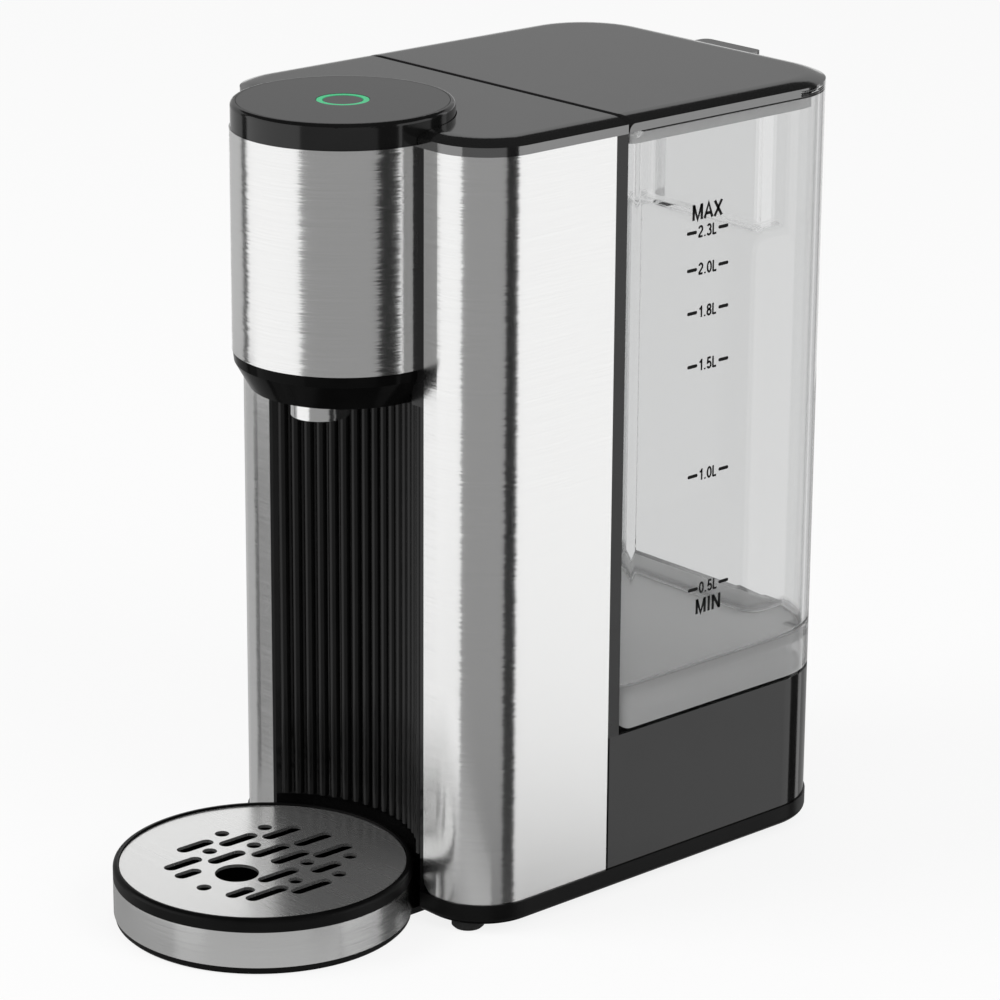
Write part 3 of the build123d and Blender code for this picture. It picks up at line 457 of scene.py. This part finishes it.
def print_text(name, words, height, y, z, stretch=1.0):
    form = bmesh.new()
    wide = sum(SIGNS[sign][0] for sign in words) + SIGN_GAP * (len(words) - 1)
    along = -wide / 2
    for sign in words:
        width, strokes = SIGNS[sign]
        for points in strokes:
            rows = []
            for pair in stroke_sides(points):
                places = ((y + (along + spot.x) * height * stretch, z + (spot.y - 0.5) * height) for spot in pair)
                rows.append([form.verts.new((ink_face, *place)) for place in places])
            for (low_a, high_a), (low_b, high_b) in zip(rows, rows[1:]):
                form.faces.new((low_a, low_b, high_b, high_a))
        along += width + SIGN_GAP
    ride_tank(place_form(name, form))


def print_tick(name, y, z, length, height):
    form = bmesh.new()
    ends = 8
    loop = []
    for side in (1, -1):
        for step in range(ends + 1):
            angle = math.radians(90 * side - 180 * step / ends)
            across = side * (length - height) / 2 + math.cos(angle) * height / 2
            loop.append(form.verts.new((ink_face, y + across, z + math.sin(angle) * height / 2)))
    form.faces.new(loop)
    ride_tank(place_form(name, form))


MARK_TOP, MARK_TOP_Y, MARK_LEAN = 246.1, 59.1, 0.033
MARKS = (("0.5L", 110.5), ("1.0L", 154.5), ("1.5L", 196.3), ("1.8L", 216.3), ("2.0L", 232.3), ("2.3L", 246.1))
MARK_HEIGHT = 0.0043
TICKS = (("tick_left_", -0.0078), ("tick_right_", 0.0080))
TICK_LENGTH, TICK_HEIGHT = 0.0051, 0.0013
LIMITS = (("mark_max", "MAX", 253.4), ("mark_min", "MIN", 103.4))
LIMIT_HEIGHT, LIMIT_STRETCH = 0.0058, 1.1


def mark_y(height):
    return (MARK_TOP_Y + (MARK_TOP - height) * MARK_LEAN) * MM


for words, height in MARKS:
    tag = words.replace(".", "_")
    middle = mark_y(height)
    print_text("mark_" + tag, words, MARK_HEIGHT, middle, height * MM)
    for start, shift in TICKS:
        print_tick(start + tag, middle + shift, height * MM, TICK_LENGTH, TICK_HEIGHT)
for name, words, height in LIMITS:
    print_text(name, words, LIMIT_HEIGHT, mark_y(height), height * MM, LIMIT_STRETCH)


# The valve's spring, which shortens as the poppet rises; the coil here is built at one length

def coil(name, node, wire, turns):
    low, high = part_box(node)
    middle = (low + high) / 2
    radius = (high.x - low.x) / 2 - wire
    rise = high.z - low.z - 2 * wire
    around, sides = 28, 10
    angles = [math.tau * side / sides for side in range(sides)]
    upward = Vector((0, 0, 1))
    form = bmesh.new()
    rings = []
    for step in range(turns * around + 1):
        turn = math.tau * step / around
        out = Vector((math.cos(turn), math.sin(turn), 0))
        height = low.z + wire + rise * step / (turns * around)
        spot = Vector((middle.x, middle.y, height)) + out * radius
        offsets = [wire * (math.cos(angle) * out + math.sin(angle) * upward) for angle in angles]
        rings.append([form.verts.new(spot + offset) for offset in offsets])
    for ring, after in zip(rings, rings[1:]):
        for side in range(sides):
            form.faces.new((ring[side], after[side], after[side - 1], ring[side - 1]))
    form.faces.new(rings[0])
    form.faces.new(list(reversed(rings[-1])))
    bmesh.ops.recalc_face_normals(form, faces=form.faces)
    for face in form.faces:
        face.smooth = len(face.verts) == 4
    piece = place_form(name, form)
    piece.data.materials.append(finishes[node_slot[node]])
    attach(piece, "tank")
    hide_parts(node)
    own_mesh(piece)


coil("spring_coil", "valve_spring", 0.00035, 5)


# Floor and backdrop

WORLD_LIGHT, WORLD_SHOWN = 0.45, 1.0
FLOOR_REACH, FLOOR_DROP = 9.0, 0.0002
FLOOR_TONE, FLOOR_SHINE, FLOOR_SHARE = 0.86, 1.04, 0.82


def ray_kind(tree, *kinds):
    path = tree.nodes.new("ShaderNodeLightPath")
    shown = path.outputs[kinds[0]]
    for kind in kinds[1:]:
        shown = larger(tree, shown, path.outputs[kind])
    return shown


world = bpy.data.worlds.new("studio")
world.use_nodes = True
scene.world = world
backdrop = world.node_tree.nodes["Background"]
backdrop.inputs["Color"].default_value = (*grey(1), 1)
seen = ray_kind(world.node_tree, "Is Camera Ray", "Is Glossy Ray", "Is Transmission Ray")
level = ramp(world.node_tree, seen, WORLD_LIGHT, WORLD_SHOWN, 0.0, 1.0)
world.node_tree.links.new(level, backdrop.inputs["Strength"])

floor_mesh = bpy.data.meshes.new("floor")
floor_corners = [(x * FLOOR_REACH, y * FLOOR_REACH, 0) for x, y in ((-1, -1), (1, -1), (1, 1), (-1, 1))]
floor_mesh.from_pydata(floor_corners, [], [(0, 1, 2, 3)])
floor = place_piece("floor", floor_mesh)
floor.location.z = -FLOOR_DROP
floor_material, floor_tree, floor_out = new_material("floor")
pale = floor_tree.nodes.new("ShaderNodeBsdfDiffuse")
pale.inputs["Color"].default_value = (*grey(FLOOR_TONE), 1)
shine = floor_tree.nodes.new("ShaderNodeEmission")
shine.inputs["Strength"].default_value = FLOOR_SHINE
blend = floor_tree.nodes.new("ShaderNodeMixShader")
share = times(floor_tree, ray_kind(floor_tree, "Is Camera Ray", "Is Transmission Ray"), FLOOR_SHARE)
floor_tree.links.new(share, blend.inputs["Fac"])
floor_tree.links.new(pale.outputs["BSDF"], blend.inputs[1])
floor_tree.links.new(shine.outputs["Emission"], blend.inputs[2])
floor_tree.links.new(blend.outputs["Shader"], floor_out.inputs["Surface"])
floor_mesh.materials.append(floor_material)
floor.visible_glossy = False


# Cards that show in reflections only

def hang(card, level):
    material, tree, out = new_material(card.name)
    emission = tree.nodes.new("ShaderNodeEmission")
    emission.inputs["Color"].default_value = (*grey(level), 1)
    tree.links.new(emission.outputs["Emission"], out.inputs["Surface"])
    card.data.materials.append(material)
    card.visible_camera = False
    card.visible_diffuse = False
    card.visible_transmission = False
    card.visible_shadow = False


def screen(name, az_from, az_to, level, radius=5.0, low=-6.0, high=6.0, middle=0.0):
    steps = max(2, int(abs(az_to - az_from) / 4))
    points = []
    for step in range(steps + 1):
        angle = math.radians(az_from + (az_to - az_from) * step / steps)
        x, y = radius * math.sin(angle), middle - radius * math.cos(angle)
        points += [(x, y, low), (x, y, high)]
    faces = [(2 * k, 2 * k + 2, 2 * k + 3, 2 * k + 1) for k in range(steps)]
    mesh = bpy.data.meshes.new(name)
    mesh.from_pydata(points, [], faces)
    hang(place_piece(name, mesh), level)


def ceiling(name, height, radius, level):
    form = bmesh.new()
    bmesh.ops.create_circle(form, cap_ends=True, segments=64, radius=radius)
    card = place_form(name, form)
    card.location.z = height
    hang(card, level)


# Far cards all round, each with its span of directions in degrees and its brightness
screen("card_front", 6, 85, 0.31)
screen("card_flag", 85, 108, 0.02)
screen("card_rear", 150, 170, 0.03)
screen("card_edge", -73, -64, 0.03)
screen("card_left", -118, -73, 0.5)
screen("card_back", -180, -118, 0.42)

# Near cards for the head, the left panel's front edge and the tray's band
screen("card_sweep", -176, -104, 1.0, 0.42, 0.08, 0.31)
STRIP = (0.3, -0.5, 0.128)
screen("card_strip", -88, -59, 0.42, *STRIP)
screen("card_crease", -59, -54, 0.05, *STRIP)
screen("card_flange", -54, -42.5, 0.26, *STRIP)
TRAY = (0.13, -0.06, -0.008, -0.0895)
screen("card_tray_left", -95, -6, 0.31, *TRAY)
screen("card_tray", -6, 100, 0.43, *TRAY)

# Level cards over and under the object
ceiling("card_above", 2.0, 3.5, 0.03)
ceiling("card_below", -0.32, 0.8, 0.02)
ceiling("card_below_ring", -0.318, 0.55, 0.5)
ceiling("card_below_core", -0.316, 0.26, 0.02)


# Soft light

LIGHT_TARGET, LIGHT_SIZE = (0, 0, 0.15), 1.4


def softbox(name, place, power):
    lamp = bpy.data.lights.new(name, "AREA")
    lamp.shape = "RECTANGLE"
    lamp.size = lamp.size_y = LIGHT_SIZE
    lamp.energy = power
    box = place_piece(name, lamp)
    box.location = place
    box.rotation_mode = "QUATERNION"
    box.rotation_quaternion = (Vector(LIGHT_TARGET) - Vector(place)).to_track_quat("-Z", "Y")
    box.visible_glossy = False
    box.visible_transmission = False


softbox("key", (-1.1, -1.7, 1.9), 26.0)
softbox("fill", (1.9, 0.3, 1.6), 18.0)
